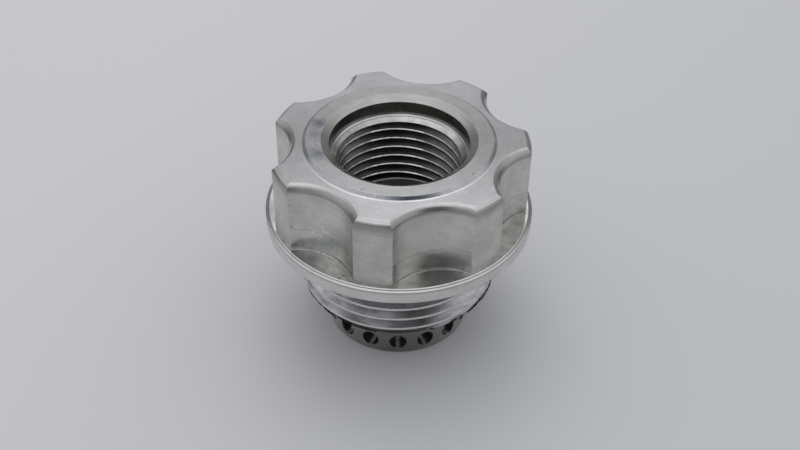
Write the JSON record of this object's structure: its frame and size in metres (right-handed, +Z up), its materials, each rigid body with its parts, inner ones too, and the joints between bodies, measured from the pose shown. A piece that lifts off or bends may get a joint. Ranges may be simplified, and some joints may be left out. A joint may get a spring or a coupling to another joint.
{
  "type": "oil filler cap",
  "caption": "Screw-in vented oil filler cap with a lobed grip, round flange, threaded neck, drilled nose and a threaded port through its top.",
  "frame": {"origin": "centre of the flat bottom of the nose, on the cap's axis", "axes": "+Z up along the cap's axis, out of the port; +X through the middle of a scallop of the grip"},
  "size_m": [0.052, 0.052, 0.0428],
  "materials": {
    "machined_metal": "bare, as machined, with fine turning and milling marks",
    "seal_rubber": "matt black moulded rubber"
  },
  "bodies": {
    "root": {"cap_body": "machined_metal", "seal_ring": "seal_rubber"}
  },
  "joints": []
}
